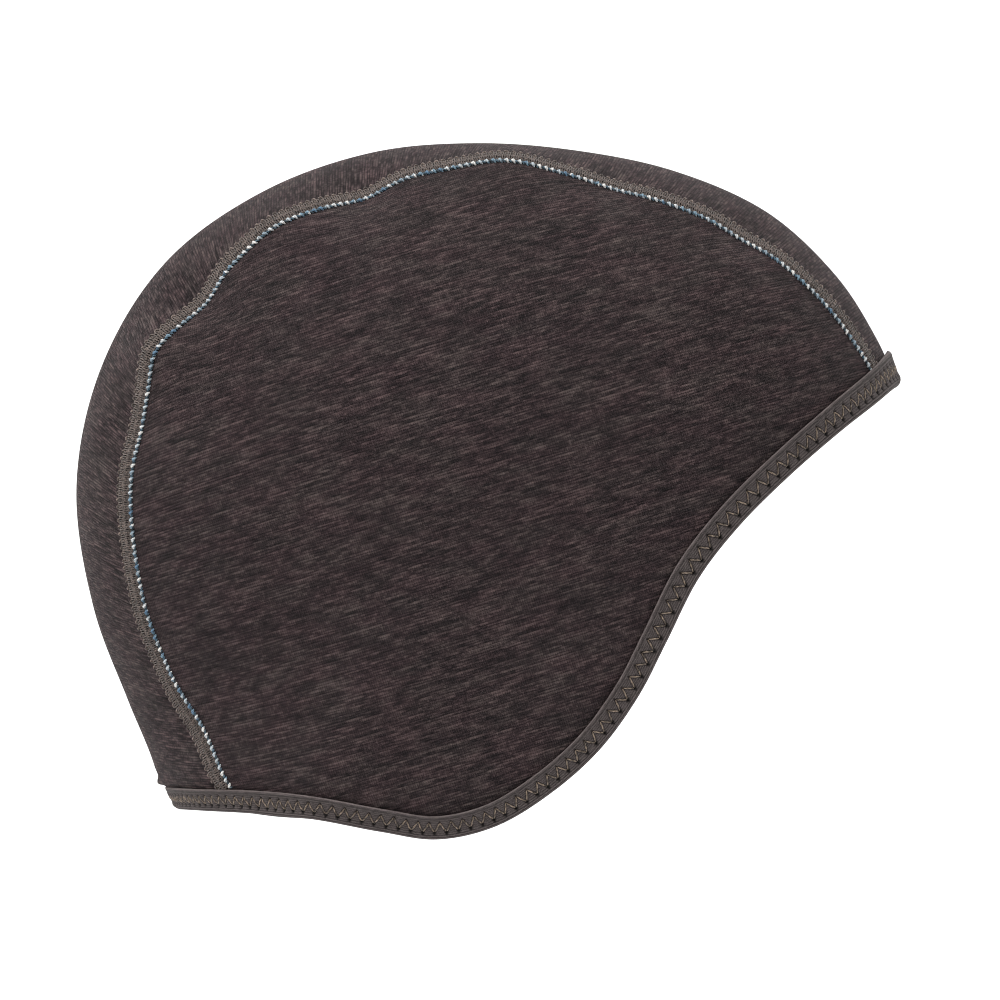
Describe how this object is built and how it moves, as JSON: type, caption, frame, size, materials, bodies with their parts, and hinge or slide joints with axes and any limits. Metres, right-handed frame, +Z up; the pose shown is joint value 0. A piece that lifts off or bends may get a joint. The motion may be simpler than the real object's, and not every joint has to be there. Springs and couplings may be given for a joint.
{
  "type": "helmet liner cap",
  "caption": "Thin close-fitting knit cap worn under a helmet, with a centre strip, flatlock seams and an elastic bound edge that covers the ears.",
  "frame": {"origin": "the inside of the crown at its highest point, where the top of the head bears", "axes": "+X to the wearer's front, +Y to the wearer's left, +Z up"},
  "size_m": [0.2056, 0.15, 0.1743],
  "materials": {
    "side_knit": "heathered brown-grey fine knit",
    "centre_knit": "heathered brown-grey fine knit, its lines across the head",
    "seam_thread": "flatlock stitching in brown thread with a pale blue and white accent row",
    "binding": "folded elastic binding with a zigzag topstitch"
  },
  "bodies": {
    "root": {"side_panel_right": "side_knit", "side_panel_left": "side_knit", "centre_panel": "centre_knit", "flatlock_seam_right": "seam_thread", "flatlock_seam_left": "seam_thread", "hem_binding": "binding"}
  },
  "joints": []
}
